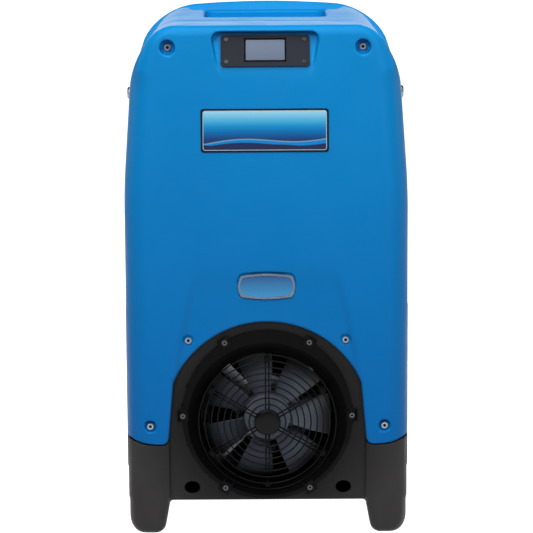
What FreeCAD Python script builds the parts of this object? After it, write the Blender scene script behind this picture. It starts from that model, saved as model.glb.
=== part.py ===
import FreeCAD, Part
import math
import os

# Portable commercial dehumidifier, all lengths in millimetres.
# X runs to the right, the front faces -Y, Z is up and the floor is z = 0.

V = FreeCAD.Vector
os.makedirs("parts", exist_ok=True)

# Housing
BODY_HALF = 240.0
SIDE_DRAFT = 0.055
LEAN_Z = 560.0
SIDE_LEAN = 0.0714
SHELL_LOW = 150.0
PLATEAU = 828.0
PLATEAU_REAR = 842.0
PLATEAU_HALF = 177.0
SHOULDER_STEEP = 1.70
SHOULDER_ROUND = 70.0
PLATEAU_ROUND = 40.0
FRONT_LOW_Y = -256.0
FRONT_TOP_Y = -200.0
REAR_Y = 222.0
EDGE_ROUND = 28.0
WALL = 4.0
SEAM_Y = -40.0
SEAM_GAP = 1.5
REAR_SHELL_LOW = 347.0

# Base moulding
BASE_FLOOR = 54.0
BASE_WALL = 5.0
TUB_HALF = 242.0
TUB_TOP = 345.0
LEG_INNER = 160.0
PANEL_SET_BACK = 12.0

# Outlet and fan
ARCH_Z = 181.0
ARCH_R = 168.0
COLLAR_Z = 196.0
COLLAR_R = 139.0
FAN_Z = 181.0
FAN_R = 106.0
SHROUD_R = 113.0
GUARD_Y = -228.0

# Handle
PIVOT_Y = 95.0
PIVOT_Z = 697.0
HANDLE_REST = 41.0
HANDLE_FOLD = 50.0
HANDLE_THICK = 26.0
ARM_OUT = 236.0
ARM_IN = 224.0
GRIP_TOP = 198.0
GRIP_UNDER = 170.0
HANDLE_GAP = 3.0

# Wheels
WHEEL_R = 127.0
WHEEL_Y = 129.0
WHEEL_IN = 182.0
WHEEL_OUT = 234.0
AXLE_R = 8.0

# Display
DISPLAY_TILT = 20.0
DISPLAY_LOW = 755.0
DISPLAY_HIGH = 818.0


# ---------------------------------------------------------------- helpers
def front_view(u, v, w):
    return V(u, w, v)


def side_view(u, v, w):
    return V(w, u, v)


def top_view(u, v, w):
    return V(u, v, w)


def outline(view, corners, level):
    """Closed wire through (u, v) or (u, v, radius) corners."""
    pieces = []
    ends = []
    count = len(corners)
    for i in range(count):
        here = V(corners[i][0], corners[i][1], 0)
        radius = corners[i][2] if len(corners[i]) > 2 else 0
        if radius == 0:
            ends.append((here, here, here))
            continue
        last = V(corners[i - 1][0], corners[i - 1][1], 0)
        following = corners[(i + 1) % count]
        after = V(following[0], following[1], 0)
        a = (last - here).normalize()
        b = (after - here).normalize()
        half = a.getAngle(b) / 2
        reach = radius / math.tan(half)
        middle = here + (a + b).normalize() * (radius / math.sin(half) - radius)
        ends.append((here + a * reach, middle, here + b * reach))
    for i in range(count):
        start, middle, end = ends[i]
        if start != end:
            p = view(start.x, start.y, level)
            q = view(middle.x, middle.y, level)
            r = view(end.x, end.y, level)
            pieces.append(Part.Arc(p, q, r).toShape())
        begin = view(end.x, end.y, level)
        onward = ends[(i + 1) % count][0]
        finish = view(onward.x, onward.y, level)
        if begin.distanceToPoint(finish) > 1e-6:
            pieces.append(Part.makeLine(begin, finish))
    return Part.Wire(pieces)


def prism(view, corners, low, high):
    face = Part.Face(outline(view, corners, low))
    return face.extrude(view(0, 0, high - low))


def block(x0, x1, y0, y1, z0, z1):
    return Part.makeBox(x1 - x0, y1 - y0, z1 - z0, V(x0, y0, z0))


def rod_x(x0, x1, y, z, radius):
    return Part.makeCylinder(radius, x1 - x0, V(x0, y, z), V(1, 0, 0))


def rod_y(x, y0, y1, z, radius):
    return Part.makeCylinder(radius, y1 - y0, V(x, y0, z), V(0, 1, 0))


def rod_z(x, y, z0, z1, radius):
    return Part.makeCylinder(radius, z1 - z0, V(x, y, z0), V(0, 0, 1))


def fused(shapes):
    whole = shapes[0]
    if len(shapes) > 1:
        whole = whole.fuse(shapes[1:])
    return whole.removeSplitter()


def mirrored(shape):
    return shape.mirror(V(0, 0, 0), V(1, 0, 0))


def pair(shape):
    return [shape, mirrored(shape)]


def group(shapes):
    return Part.makeCompound(shapes)


def plate_outline(x0, x1, z0, z1, radius):
    return [(x0, z0, radius), (x1, z0, radius), (x1, z1, radius), (x0, z1, radius)]


def tube(points, radius, bend):
    """Round bar along a path of points, bent with the given radius."""
    pieces = []
    start = points[0]
    for i in range(1, len(points) - 1):
        a = (points[i - 1] - points[i]).normalize()
        b = (points[i + 1] - points[i]).normalize()
        half = a.getAngle(b) / 2
        reach = bend / math.tan(half)
        middle = points[i] + (a + b).normalize() * (bend / math.sin(half) - bend)
        pieces.append(Part.makeLine(start, points[i] + a * reach))
        pieces.append(Part.Arc(points[i] + a * reach, middle, points[i] + b * reach).toShape())
        start = points[i] + b * reach
    pieces.append(Part.makeLine(start, points[-1]))
    path = Part.Wire(pieces)
    ring = Part.Circle(points[0], points[1] - points[0], radius).toShape()
    return path.makePipeShell([Part.Wire(ring)], True, True)


def save(name, shape):
    shape.exportStep("parts/" + name + ".step")


# ---------------------------------------------------------- housing solids
def side_taper(y):
    """How far the sides stand in at a depth in front of the shell seam."""
    return SIDE_DRAFT * max(0.0, SEAM_Y - y)


def drawn_in(corners, inset):
    """Corners of a convex outline, moved inward by the inset."""
    moved = []
    for i, corner in enumerate(corners):
        here = V(corner[0], corner[1], 0)
        last = V(corners[i - 1][0], corners[i - 1][1], 0)
        following = corners[(i + 1) % len(corners)]
        a = (last - here).normalize()
        b = (V(following[0], following[1], 0) - here).normalize()
        shift = (a + b).normalize() * (inset / math.sin(a.getAngle(b) / 2))
        radius = [r - inset for r in corner[2:]]
        moved.append((here.x + shift.x, here.y + shift.y, *radius))
    return moved


def face_corners(taper, low, top):
    """Front view of the housing where its sides stand in by the taper."""
    half = BODY_HALF - taper
    slant = 1 / SHOULDER_STEEP
    meet_z = (PLATEAU_HALF + PLATEAU * slant - half - SIDE_LEAN * LEAN_Z) / (slant - SIDE_LEAN)
    meet_x = half - SIDE_LEAN * (meet_z - LEAN_Z)
    right = [(half, low), (half, LEAN_Z, 500), (meet_x, meet_z, SHOULDER_ROUND)]
    right.append((PLATEAU_HALF - (top - PLATEAU) * slant, top, PLATEAU_ROUND))
    left = [(-corner[0], *corner[1:]) for corner in reversed(right)]
    return right + left


def front_y(z):
    slope = (FRONT_TOP_Y - FRONT_LOW_Y) / (PLATEAU - SHELL_LOW)
    return FRONT_LOW_Y + slope * max(0.0, z - SHELL_LOW)


def slab(d0, d1, z0, z1, half=300.0):
    """Layer between two depths behind the sloping front face."""
    corners = [(front_y(z0) + d0, z0), (front_y(z1) + d0, z1)]
    corners += [(front_y(z1) + d1, z1), (front_y(z0) + d1, z0)]
    if z0 < SHELL_LOW < z1:
        corners.insert(1, (FRONT_LOW_Y + d0, SHELL_LOW))
        corners.append((FRONT_LOW_Y + d1, SHELL_LOW))
        corners = corners[:4] + [corners[5], corners[4]]
    return prism(side_view, corners, -half, half)


def body(inset):
    """Whole housing block, drawn in by the inset on every face."""
    low = 100.0
    front_end = -300.0
    rear = REAR_Y - inset
    narrow = drawn_in(face_corners(side_taper(front_end), low, PLATEAU), inset)
    full = drawn_in(face_corners(0, low, PLATEAU), inset)
    raised = drawn_in(face_corners(0, low, PLATEAU_REAR), inset)
    at_seam = outline(front_view, full, SEAM_Y)
    front_part = Part.makeLoft([outline(front_view, narrow, front_end), at_seam], True, True)
    rear_part = Part.makeLoft([at_seam, outline(front_view, raised, rear)], True, True)
    solid = front_part.fuse(rear_part).removeSplitter()
    slope = (FRONT_TOP_Y - FRONT_LOW_Y) / (PLATEAU - SHELL_LOW)
    y_low = FRONT_LOW_Y + slope * (low - 10 - SHELL_LOW) + inset
    y_high = FRONT_LOW_Y + slope * (900.0 - SHELL_LOW) + inset
    side = [(y_low, low - 10), (300, low - 10), (300, 900), (y_high, 900)]
    solid = solid.common(prism(side_view, side, -300, 300))
    edges = []
    for edge in solid.Edges:
        middle = edge.valueAt((edge.FirstParameter + edge.LastParameter) / 2)
        front = FRONT_LOW_Y + slope * (middle.z - SHELL_LOW) + inset
        on_front = abs(middle.y - front) < 0.01
        on_rear = abs(middle.y - rear) < 0.01
        if (on_front or on_rear) and middle.z > low + inset + 1:
            edges.append(edge)
    return solid.makeFillet(EDGE_ROUND - inset, edges)


def arch_outline(grow, foot):
    """Arch over the air outlet: a round head on splayed straight sides."""
    r = ARCH_R + grow
    rise = 69.0
    x_spring = math.sqrt(r * r - rise * rise)
    head = Part.Arc(V(-x_spring, 0, ARCH_Z + rise), V(0, 0, ARCH_Z + r), V(x_spring, 0, ARCH_Z + rise))
    right = V(162 + grow, 0, foot)
    left = V(-162 - grow, 0, foot)
    lines = [Part.makeLine(V(x_spring, 0, ARCH_Z + rise), right)]
    lines.append(Part.makeLine(right, left))
    lines.append(Part.makeLine(left, V(-x_spring, 0, ARCH_Z + rise)))
    return Part.Wire([head.toShape()] + lines)


def arch_prism(grow, foot, y0, y1):
    wire = arch_outline(grow, foot)
    wire.translate(V(0, y0, 0))
    return Part.Face(wire).extrude(V(0, y1 - y0, 0))


def display_frame(shape):
    """Carry a shape from the flat display layout to its tilted seat."""
    placed = shape.copy()
    placed.rotate(V(0, 0, 0), V(1, 0, 0), -DISPLAY_TILT)
    rise = (DISPLAY_HIGH - DISPLAY_LOW) / 2
    y = front_y(DISPLAY_LOW) + rise * math.tan(math.radians(DISPLAY_TILT))
    placed.translate(V(0, y, DISPLAY_LOW + rise))
    return placed


def display_wedge(grow):
    """Wedge-shaped recess whose sloping floor seats the display."""
    tilt = math.tan(math.radians(DISPLAY_TILT))
    low = DISPLAY_LOW - grow * 2
    high = DISPLAY_HIGH + grow
    back = front_y(DISPLAY_LOW) + grow / math.cos(math.radians(DISPLAY_TILT))
    start = back + (low - DISPLAY_LOW) * tilt
    end = back + (high - DISPLAY_LOW) * tilt
    side = [(-280, low), (start, low), (end, high), (-280, high)]
    face = [(-76.5 - grow, low - 5), (76.5 + grow, low - 5), (89 + grow, high + 1), (-89 - grow, high + 1)]
    return prism(side_view, side, -120, 120).common(prism(front_view, face, -290, -100))


def panel_recess(shift):
    """Shallow fall of the centre panel between the two side pillars."""
    side = [(front_y(445), 445), (front_y(300) + 4, 300), (FRONT_LOW_Y + 4, SHELL_LOW)]
    side += [(FRONT_LOW_Y + 4, 140), (-290, 140), (-290, 445)]
    face = [(-108 - shift, 450), (-141 - shift, 300), (-150 - shift, 140)]
    face += [(150 + shift, 140), (141 + shift, 300), (108 + shift, 450)]
    cut = prism(side_view, side, -200, 200).common(prism(front_view, face, -290, -150))
    cut.translate(V(0, shift, 0))
    return cut


SCREW_SEATS = [(158.0, 793.0, 12.0, 16.0), (128.0, 320.0, 8.0, 8.0), (191.0, 180.0, 9.0, 8.0)]


def handle_frame(shape, angle):
    """Swing a shape drawn upright at the origin to the handle's angle."""
    placed = shape.copy()
    placed.rotate(V(0, 0, 0), V(1, 0, 0), -angle)
    placed.translate(V(0, PIVOT_Y, PIVOT_Z))
    return placed


def handle_inside(gap):
    """Inner outline of the handle loop, drawn in by a gap."""
    right = [(ARM_IN - gap, 16, 50), (178 - gap, GRIP_UNDER - gap, 70 - gap)]
    left = [(-corner[0], *corner[1:]) for corner in reversed(right)]
    return right + left


def handle_room(grow):
    """Space swept by the folding handle, with room around it."""
    gap = HANDLE_GAP + grow
    inner = [(-ARM_IN + gap, -70), (ARM_IN - gap, -70)] + handle_inside(gap)
    hollow = prism(front_view, inner, -60, 60)
    thick = HANDLE_THICK / 2 + gap
    outer = block(-320, 320, -thick, thick, 0, 270)
    flat = outer.cut(hollow)
    sheet_outer = [(-320, 0), (320, 0), (320, 270), (-320, 270)]
    sheet = Part.Face(outline(front_view, sheet_outer, 0))
    sheet = handle_frame(sheet.cut(Part.Face(outline(front_view, inner, 0))), HANDLE_REST)
    parts = [handle_frame(flat, HANDLE_REST), handle_frame(flat, HANDLE_REST + HANDLE_FOLD)]
    for face in sheet.Faces:
        parts.append(face.revolve(V(0, PIVOT_Y, PIVOT_Z), V(-1, 0, 0), HANDLE_FOLD))
    hub = rod_x(ARM_IN - gap, 320, PIVOT_Y, PIVOT_Z, 30 + grow)
    return fused(parts + pair(hub))


outer_body = body(0)
inner_body = body(WALL)

# ------------------------------------------------------------- front shell
outer = outer_body.cut(panel_recess(0))
cavity = inner_body.cut(panel_recess(WALL))
keep = block(-300, 300, -300, SEAM_Y - SEAM_GAP / 2, SHELL_LOW, 900)
shell = outer.cut(cavity).common(keep)
shell = shell.cut(arch_prism(0, 100, -300, -150))

extras = []
lip = arch_prism(WALL, SHELL_LOW, -300, -150).cut(arch_prism(0, 100, -300, -150))
extras.append(lip.common(slab(4.2, PANEL_SET_BACK, SHELL_LOW, 400)))
for x, z, r, depth in SCREW_SEATS:
    cup = rod_y(x, -300, -100, z, r + WALL).common(slab(0, depth + WALL, SHELL_LOW, 828))
    extras += pair(cup.common(outer))
extras.append(display_wedge(WALL).common(outer))
badge_pad = prism(front_view, plate_outline(-54, 54, 382, 434, 20), -300, -150)
extras.append(badge_pad.common(slab(WALL - 0.2, 8, 370, 440)))
shell = fused([shell] + extras)

cuts = [display_wedge(0)]
cuts.append(display_frame(block(-60, 60, -10, 12, -20, 20)))
for x, z, r, depth in SCREW_SEATS:
    pocket = rod_y(x, -300, -100, z, r).common(slab(-60, depth, SHELL_LOW - 20, 828))
    cuts += pair(pocket)
    cuts += pair(rod_y(x, -300, -100, z, 2.6))
for x in (-63, 63):
    for z in (-18.5, 18.5):
        cuts.append(display_frame(rod_y(x, -6, 12, z, 1.6)))


def badge_outline(grow):
    """Shield outline with bowed top and bottom edges."""
    w = 46.0 + grow
    h = 17.0 + grow
    bow = 3.5
    left_low, left_high = V(-w + 5, 0, 408 - h), V(-w + 5, 0, 408 + h)
    right_low, right_high = V(w - 5, 0, 408 - h), V(w - 5, 0, 408 + h)
    edges = [Part.Arc(left_low, V(0, 0, 408 - h - bow), right_low).toShape()]
    edges.append(Part.Arc(right_low, V(w, 0, 408), right_high).toShape())
    edges.append(Part.Arc(right_high, V(0, 0, 408 + h + bow), left_high).toShape())
    edges.append(Part.Arc(left_high, V(-w, 0, 408), left_low).toShape())
    return Part.Wire(edges)


def badge_prism(grow):
    wire = badge_outline(grow)
    wire.translate(V(0, -300, 0))
    return Part.Face(wire).extrude(V(0, 150, 0))


# The badge sits on the fallen centre panel.
def badge_slab(d0, d1):
    fall = 4.0 / 145.0
    corners = []
    for z, d in ((370, d0), (440, d0), (440, d1), (370, d1)):
        corners.append((front_y(z) + (445 - z) * fall + d, z))
    return prism(side_view, corners, -120, 120)


cuts.append(badge_prism(2.0).common(badge_slab(-20, 3)))
shell = shell.cut(cuts)
front_shell = shell.removeSplitter()
save("front_shell", front_shell)

badge_rim = badge_prism(0).cut(badge_prism(-3.0)).common(badge_slab(-1.0, 3.0))
save("badge_rim", badge_rim)
save("badge_face", badge_prism(-3.0).common(badge_slab(0.5, 3.0)))

plate = prism(front_view, plate_outline(-105, 102, 625, 695, 5), -300, -150)
save("name_plate", plate.common(slab(-1.0, 0, 600, 720)))


# -------------------------------------------------------------- rear shell
INLET_HALF = 160.5
INLET_LOW = 399.5
INLET_HIGH = 640.5
REAR_SCREWS = [(178.0, 395.0), (178.0, 520.0), (178.0, 665.0)]
SPOTS = [(120.0, 372.0), (-120.0, 372.0)]

POCKET_FRONT = 22.0
POCKET_REAR = 188.0
grip_pocket = prism(front_view, plate_outline(-105, 105, 800, 880, 18), POCKET_FRONT, POCKET_REAR)
wall_face = plate_outline(-109, 109, 796, 880, 22)
pocket_wall = prism(front_view, wall_face, POCKET_FRONT - WALL, POCKET_REAR + WALL)
# The top falls away between the two rear corners, under the grip.
SADDLE_HALF = 136.0
saddle_side = [(150, 870), (150, 838), (REAR_Y + 10, 831), (REAR_Y + 10, 870)]
saddle = prism(side_view, saddle_side, -SADDLE_HALF, SADDLE_HALF)
saddle_side = [(y, z - WALL) for y, z in saddle_side]
saddle_wall = prism(side_view, saddle_side, -SADDLE_HALF - WALL, SADDLE_HALF + WALL)
rear_outer = outer_body.cut([handle_room(0), grip_pocket, saddle])
rear_inner = inner_body.cut([handle_room(WALL), pocket_wall, saddle_wall])
shell = rear_outer.cut(rear_inner)
shell = shell.common(block(-300, 300, SEAM_Y + SEAM_GAP / 2, 300, REAR_SHELL_LOW, 900))
rear_face = REAR_Y - WALL
tunnel = block(-165, 165, 197, REAR_Y - 1, 395, 645)
extras = [tunnel]
for x, z in REAR_SCREWS:
    extras += pair(rod_y(x, 197, rear_face + 1, z, 8.5))
shell = fused([shell] + extras)
cuts = [block(-INLET_HALF, INLET_HALF, 190, 230, INLET_LOW, INLET_HIGH)]
for x, z in REAR_SCREWS:
    cuts += pair(rod_y(x, 190, 230, z, 2.5))
for x, z in SPOTS:
    cuts.append(rod_y(x, 210, 230, z, 9.0))
for x in (-35, 0, 35):
    cuts.append(block(x - 13, x + 13, 210, 230, 722, 742))
for side in (-1, 1):
    cuts.append(rod_x(min(side * 205, side * 230), max(side * 205, side * 230), PIVOT_Y, PIVOT_Z, 6.0))
    for z in (520.0, 640.0):
        cuts.append(rod_y(side * 192, 210, 230, z, 2.5))
rear_shell = shell.cut(cuts).removeSplitter()
save("rear_shell", rear_shell)

# ----------------------------------------------------------- base moulding
def leg_outline(y):
    """Front view of the two legs and the panel between them, down past the floor."""
    half = TUB_HALF - side_taper(y)
    right = [(LEG_INNER, BASE_FLOOR, 4), (170, -1, 14), (half, -1, 26), (half, 148)]
    left = [(-corner[0], *corner[1:]) for corner in reversed(right)]
    return outline(front_view, right + left, y)


front_block = Part.makeLoft([leg_outline(FRONT_LOW_Y), leg_outline(SEAM_Y)], True, True)
front_half = TUB_HALF - side_taper(FRONT_LOW_Y)
plan = [(-front_half, FRONT_LOW_Y, EDGE_ROUND), (front_half, FRONT_LOW_Y, EDGE_ROUND)]
plan += [(TUB_HALF, SEAM_Y), (-TUB_HALF, SEAM_Y)]
front_block = front_block.common(prism(top_view, plan, -2, 150))
front_block = front_block.fuse(block(-TUB_HALF, TUB_HALF, SEAM_Y, SEAM_Y + 10, BASE_FLOOR, 148))
leg_heel = [(-300, BASE_FLOOR), (-300, 0), (-130, 0, 24), (-130, BASE_FLOOR)]
foot_zone = prism(side_view, leg_heel, -300, 300)
upper_zone = block(-300, 300, -300, 300, BASE_FLOOR, 400)
front_block = front_block.common(foot_zone.fuse(upper_zone))

tub = block(-TUB_HALF, TUB_HALF, SEAM_Y + SEAM_GAP / 2, REAR_Y, BASE_FLOOR, TUB_TOP)
upright = [e for e in tub.Edges if abs(e.CenterOfMass.y - REAR_Y) < 0.01 and abs(e.CenterOfMass.x) > 200]
tub = tub.makeFillet(EDGE_ROUND, upright)
bulkhead_face = [(-214, 120), (214, 120), (214, 210, 20), (150, 366, 30), (-150, 366, 30), (-214, 210, 20)]
bulkhead = prism(front_view, bulkhead_face, -300, -100)
bulkhead = bulkhead.common(slab(PANEL_SET_BACK, PANEL_SET_BACK + BASE_WALL, 120, 366))

base = front_block.fuse(tub)
base = base.cut(block(-LEG_INNER, LEG_INNER, -300, FRONT_LOW_Y + PANEL_SET_BACK, 0, 200))
ROOM_FRONT = -239.0


def tapered_room(inner_x, wall, y0, y1, z0, z1):
    """Room with its outer side parallel to the drafted outer wall."""
    x0 = TUB_HALF - side_taper(y0) - wall
    x1 = TUB_HALF - side_taper(y1) - wall
    return prism(top_view, [(inner_x, y0), (x0, y0), (x1, y1), (inner_x, y1)], z0, z1)


hollow = fused(pair(tapered_room(0, 6, ROOM_FRONT, SEAM_Y + 1, BASE_FLOOR + BASE_WALL, 149)))
room_half = TUB_HALF - BASE_WALL
tub_room = block(-room_half, room_half, SEAM_Y - 1, REAR_Y - BASE_WALL, BASE_FLOOR + BASE_WALL, TUB_TOP + 1)
upright = [e for e in tub_room.Edges if abs(e.CenterOfMass.y - 217) < 0.01 and abs(e.CenterOfMass.x) > 200]
tub_room = tub_room.makeFillet(EDGE_ROUND - BASE_WALL, upright)
rooms = [hollow, tub_room]
rooms += pair(tapered_room(177, 7, ROOM_FRONT, -140, 12, 70))
wells = []
for side in (-1, 1):
    x = 172 if side > 0 else -300
    wells.append(rod_x(x, x + 128, WHEEL_Y, WHEEL_R, WHEEL_R + 8))
    x = 167 if side > 0 else -300
    guard_zone = rod_x(x, x + 133, WHEEL_Y, WHEEL_R, WHEEL_R + 13)
    rooms[1] = rooms[1].cut(guard_zone)
base = base.cut(rooms)
base = fused([base, bulkhead])
for side in (-1, 1):
    for x, z, r, depth in SCREW_SEATS[1:]:
        wells.append(rod_y(side * x, -300, -200, z, 2.4))
    wells.append(rod_y(side * 124, -250, -230, 76, 12.0))
    wells.append(rod_x(min(side * 150, side * 245), max(side * 150, side * 245), WHEEL_Y, WHEEL_R, AXLE_R))
wells.append(rod_y(0, -260, -225, COLLAR_Z, COLLAR_R - 2))
base = base.cut(wells).removeSplitter()
COLLAR_SCREWS = []
for k in range(6):
    angle = math.radians(60 * k)
    COLLAR_SCREWS.append((138 * math.cos(angle), COLLAR_Z + 138 * math.sin(angle)))
base = base.cut([rod_y(x, -260, -225, z, 2.0) for x, z in COLLAR_SCREWS])
save("base_moulding", base)

# ---------------------------------------------------------- outlet and fan
ring_zone = slab(PANEL_SET_BACK - 3.5, PANEL_SET_BACK, 40, 366)
rim = rod_y(0, -300, -200, COLLAR_Z, COLLAR_R)
lugs = [rod_y(x, -300, -200, z, 9.0) for x, z in COLLAR_SCREWS]
flange = fused([rim] + lugs).common(ring_zone)


def oblique_cone(r_front, r_back):
    """Funnel body running from the panel ring back to the fan shroud."""
    front = Part.Wire(Part.Circle(V(0, -250, COLLAR_Z), V(0, 1, 0), r_front).toShape())
    back = Part.Wire(Part.Circle(V(0, -212, FAN_Z), V(0, 1, 0), r_back).toShape())
    return Part.makeLoft([front, back], True, True)


funnel = oblique_cone(136.5, SHROUD_R + 3)
throat = oblique_cone(133.5, SHROUD_R)
funnel = funnel.common(slab(PANEL_SET_BACK - 3.5, 60, 40, 366))
collar = fused([flange, funnel]).cut(throat)
collar = collar.cut([rod_y(x, -260, -225, z, 2.0) for x, z in COLLAR_SCREWS])
save("outlet_collar", collar.removeSplitter())

heads = []
for x, z in COLLAR_SCREWS:
    y = front_y(z) + PANEL_SET_BACK - 3.0
    head = rod_y(x, y - 4.0, y - 1.1, z, 4.2).cut(rod_y(x, y - 5, y - 2.6, z, 1.9))
    heads.append(fused([head, rod_y(x, y - 1.2, y + 12, z, 1.95)]))
save("collar_screws", group(heads))

lug_angles = [math.radians(30 + 60 * k) for k in range(6)]
GUARD_LUG_R = 105.0
shroud = rod_y(0, -212, -120, FAN_Z, SHROUD_R + 3).cut(rod_y(0, -213, -119, FAN_Z, SHROUD_R))
parts = [shroud]
for a in lug_angles:
    x = GUARD_LUG_R * math.cos(a)
    z = FAN_Z + GUARD_LUG_R * math.sin(a)
    web = block(GUARD_LUG_R, SHROUD_R + 1, -210, -196, -4, 4)
    web.rotate(V(0, 0, 0), V(0, 1, 0), -math.degrees(a))
    web.translate(V(0, 0, FAN_Z))
    parts += [rod_y(x, -223.5, -196, z, 4.5), web]
shroud = fused(parts)
pins = []
for a in lug_angles:
    pins.append(rod_y(GUARD_LUG_R * math.cos(a), -224, -205, FAN_Z + GUARD_LUG_R * math.sin(a), 1.8))
save("fan_shroud", shroud.cut(pins).removeSplitter())

RING_RADII = [30.0, 40.5, 51.0, 61.0, 71.5, 82.0, 92.0, 103.0, 113.0]
wires = []
for r in RING_RADII:
    ring = rod_y(0, GUARD_Y - 1.5, GUARD_Y + 1.5, FAN_Z, r + 1.4)
    wires.append(ring.cut(rod_y(0, GUARD_Y - 2, GUARD_Y + 2, FAN_Z, r - 1.4)))
for a in lug_angles:
    for offset in (-4.5, 4.5):
        spoke = block(20, 114, GUARD_Y + 0.9, GUARD_Y + 3.7, offset - 1.4, offset + 1.4)
        spoke.rotate(V(0, 0, 0), V(0, 1, 0), -math.degrees(a))
        spoke.translate(V(0, 0, FAN_Z))
        wires.append(spoke)
    x = GUARD_LUG_R * math.cos(a)
    z = FAN_Z + GUARD_LUG_R * math.sin(a)
    wires.append(rod_y(x, GUARD_Y + 0.9, GUARD_Y + 4.5, z, 5.8))
wires.append(rod_y(0, GUARD_Y - 2.5, GUARD_Y + 4.5, FAN_Z, 22.0))
guard = wires[0].fuse(wires[1:])
holes = []
for a in lug_angles:
    x = GUARD_LUG_R * math.cos(a)
    z = FAN_Z + GUARD_LUG_R * math.sin(a)
    holes.append(rod_y(x, -240, -210, z, 1.85))
    holes.append(rod_y(x, -240, GUARD_Y + 0.9, z, 4.2))
save("fan_guard", guard.cut(holes).removeSplitter())

heads = []
for a in lug_angles:
    x = GUARD_LUG_R * math.cos(a)
    z = FAN_Z + GUARD_LUG_R * math.sin(a)
    head = rod_y(x, GUARD_Y - 2.0, GUARD_Y + 0.8, z, 3.8)
    heads.append(head.fuse(rod_y(x, GUARD_Y + 0.7, -207, z, 1.75)))
save("guard_screws", group(heads))

FAN_Y = -167.0
hub = fused([rod_y(0, -186, -148, FAN_Z, 38.0), rod_y(0, -148, -125, FAN_Z, 4.0)])
blades = []
for k in range(7):
    sections = []
    for r, chord, pitch in ((34.0, 34.0, 42.0), (70.0, 56.0, 32.0), (FAN_R, 72.0, 24.0)):
        p = math.radians(pitch)
        along = V(0, math.sin(p), math.cos(p))
        across = V(0, math.cos(p), -math.sin(p))
        centre = V(r, FAN_Y, 0)
        corners = []
        for s, t in ((-1, -1), (1, -1), (1, 1), (-1, 1)):
            corners.append(centre + along * (s * chord / 2) + across * (t * 1.1))
        sections.append(Part.makePolygon(corners + [corners[0]]))
    blade = Part.makeLoft(sections, True, True)
    blade.rotate(V(0, 0, 0), V(0, 1, 0), k * 360.0 / 7)
    blade.translate(V(0, 0, FAN_Z))
    blades.append(blade)
rotor = hub.fuse(blades)
rotor = rotor.common(rod_y(0, -200, -120, FAN_Z, FAN_R))
save("fan_rotor", rotor)

motor = fused([rod_y(0, -143, -97, FAN_Z, 42.0), rod_y(0, -97, -92, FAN_Z, 30.0)])
motor = motor.cut(rod_y(0, -150, -122, FAN_Z, 4.06))
save("fan_motor", motor)
arms = [rod_y(0, -120, -117, FAN_Z, 56.0)]
for k in range(4):
    arm = block(40, 120, -120, -117, -9, 9)
    arm.rotate(V(0, 0, 0), V(0, 1, 0), 45 + 90 * k)
    arm.translate(V(0, 0, FAN_Z))
    arms.append(arm)
bracket = fused(arms).cut(rod_y(0, -130, -110, FAN_Z, 42.0))
bracket = bracket.common(block(-160, 160, -130, -110, 62, 400))
save("motor_bracket", bracket)

# ----------------------------------------------------------- shell fixings
screws = []
for x, z, r, depth in SCREW_SEATS:
    head = rod_y(x, -300, -100, z, 5.0).common(slab(depth - 5, depth, SHELL_LOW, 828))
    head = head.cut(rod_y(x, -300, -100, z, 2.3).common(slab(-60, depth - 2.5, SHELL_LOW, 828)))
    y = front_y(z) + depth
    screws += pair(fused([head, rod_y(x, y - 1.5, y + 12, z, 2.4)]))
save("front_shell_screws", group(screws))

screws = []
for x, z in REAR_SCREWS:
    head = rod_y(x, REAR_Y, REAR_Y + 3.5, z, 5.0).cut(rod_y(x, REAR_Y + 1.5, REAR_Y + 5, z, 2.3))
    screws += pair(fused([head, rod_y(x, 190, REAR_Y + 1, z, 2.4)]))
save("rear_shell_screws", group(screws))

foot = prism(front_view, plate_outline(144, 172, 776, 807, 5), -300, -100)
foot = foot.common(slab(20, 22.5, 760, 827))
arm = block(144, 146.5, -190, -60, 692, 800).cut(slab(-60, 20, 600, 860))
bracket = fused([foot, arm]).cut(rod_y(158, -200, -170, 793, 2.4))
save("shell_brackets", group(pair(bracket)))

# ------------------------------------------------------------------ handle
outside = [(ARM_OUT, -22), (ARM_OUT, 16, 60), (197, 184, 100), (0, GRIP_TOP, 1200)]
outside += [(-corner[0], *corner[1:]) for corner in reversed(outside[:3])]
inside = [(ARM_IN, -22)] + handle_inside(0) + [(-ARM_IN, -22)]
half_thick = HANDLE_THICK / 2
handle = prism(front_view, outside + inside[::-1], -half_thick, half_thick)
edges = []
for edge in handle.Edges:
    box = edge.BoundBox
    if box.YLength < 0.01 and box.ZMax > -21.9:
        edges.append(edge)
handle = handle.makeFillet(4.5, edges)
rounded_ends = [(-half_thick, -22, 11), (half_thick, -22, 11), (half_thick, 250), (-half_thick, 250)]
handle = handle.common(prism(side_view, rounded_ends, -300, 300))
handle = handle.cut(rod_x(-260, 260, 0, 0, 6.2))
save("handle", handle_frame(handle, HANDLE_REST))

hardware = []
for side in (1, -1):
    head = rod_x(236.4, 241, PIVOT_Y, PIVOT_Z, 11)
    rim = [e for e in head.Edges if abs(e.CenterOfMass.x - 241) < 0.01]
    head = head.makeFillet(3.5, rim)
    bolt = fused([head, rod_x(205, 237, PIVOT_Y, PIVOT_Z, 6.0)])
    hexagon = [(11 * math.cos(k * math.pi / 3), 11 * math.sin(k * math.pi / 3)) for k in range(6)]
    nut = prism(side_view, hexagon, 211, 217)
    nut.translate(V(0, PIVOT_Y, PIVOT_Z))
    nut = nut.cut(rod_x(200, 230, PIVOT_Y, PIVOT_Z, 6.0))
    washer = rod_x(221, 223.5, PIVOT_Y, PIVOT_Z, 15).cut(rod_x(200, 230, PIVOT_Y, PIVOT_Z, 6.0))
    for piece in (bolt, nut, washer):
        hardware.append(piece if side > 0 else mirrored(piece))
save("handle_pivot_hardware", group(hardware))

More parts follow.
